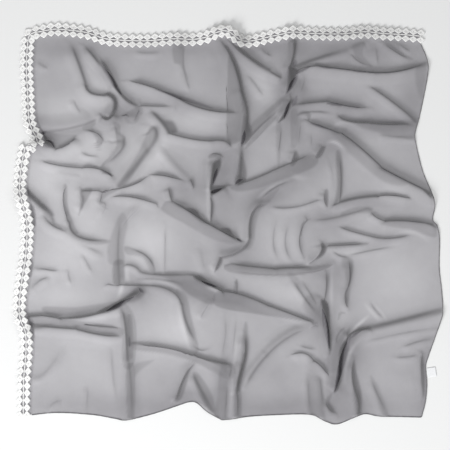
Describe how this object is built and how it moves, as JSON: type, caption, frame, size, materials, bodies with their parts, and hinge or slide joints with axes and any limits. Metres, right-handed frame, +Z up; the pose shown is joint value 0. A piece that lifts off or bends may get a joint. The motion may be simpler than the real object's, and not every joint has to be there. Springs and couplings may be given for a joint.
{
  "type": "chiffon headscarf",
  "caption": "Square sheer chiffon headscarf laid flat with soft fallen folds, a guipure lace edging on two sides and narrow rolled hems.",
  "frame": {"origin": "middle of the laid scarf seen from above, on the surface that it lies on", "axes": "+X to the right along the top lace, +Y away towards the top lace, +Z up out of the surface"},
  "size_m": [1.1206, 1.047, 0.0171],
  "materials": {
    "chiffon": "sheer chiffon, matte with a faint sheen",
    "lace": "matte cotton guipure lace",
    "hem": "tightly rolled and stitched chiffon",
    "label": "smooth woven label, blank"
  },
  "bodies": {
    "root": {"chiffon_panel": "chiffon", "lace_trim_top_corner": "lace", "lace_trim_left": "lace", "rolled_hem_right": "hem", "rolled_hem_bottom": "hem", "care_label": "label"}
  },
  "joints": []
}
